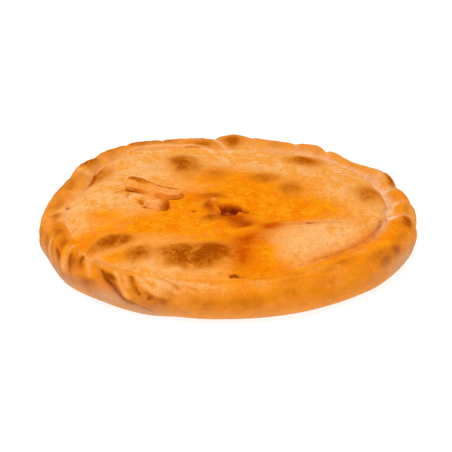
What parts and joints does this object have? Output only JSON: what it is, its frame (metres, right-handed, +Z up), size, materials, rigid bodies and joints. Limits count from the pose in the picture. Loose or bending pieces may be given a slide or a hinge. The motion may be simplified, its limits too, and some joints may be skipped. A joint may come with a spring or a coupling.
{
  "type": "empanada",
  "caption": "Large round baked empanada with a pleated rolled rim, a low lid with browned blisters and a torn steam vent.",
  "frame": {"origin": "on the table, under the middle of the crust's bounding box", "axes": "+Z up out of the lid, +Y towards the back rim, +X to the viewer's right in the pictured view"},
  "size_m": [0.2778, 0.2736, 0.0406],
  "materials": {
    "crust": "baked dough, satin where the oil has soaked through, matte elsewhere",
    "dough_scraps": "baked dough, satin, darker at its edges",
    "filling": "moist oily filling, glossy"
  },
  "bodies": {
    "root": {"crust": "crust", "dough_strip": "dough_scraps", "dough_curl": "dough_scraps", "filling": "filling"}
  },
  "joints": []
}
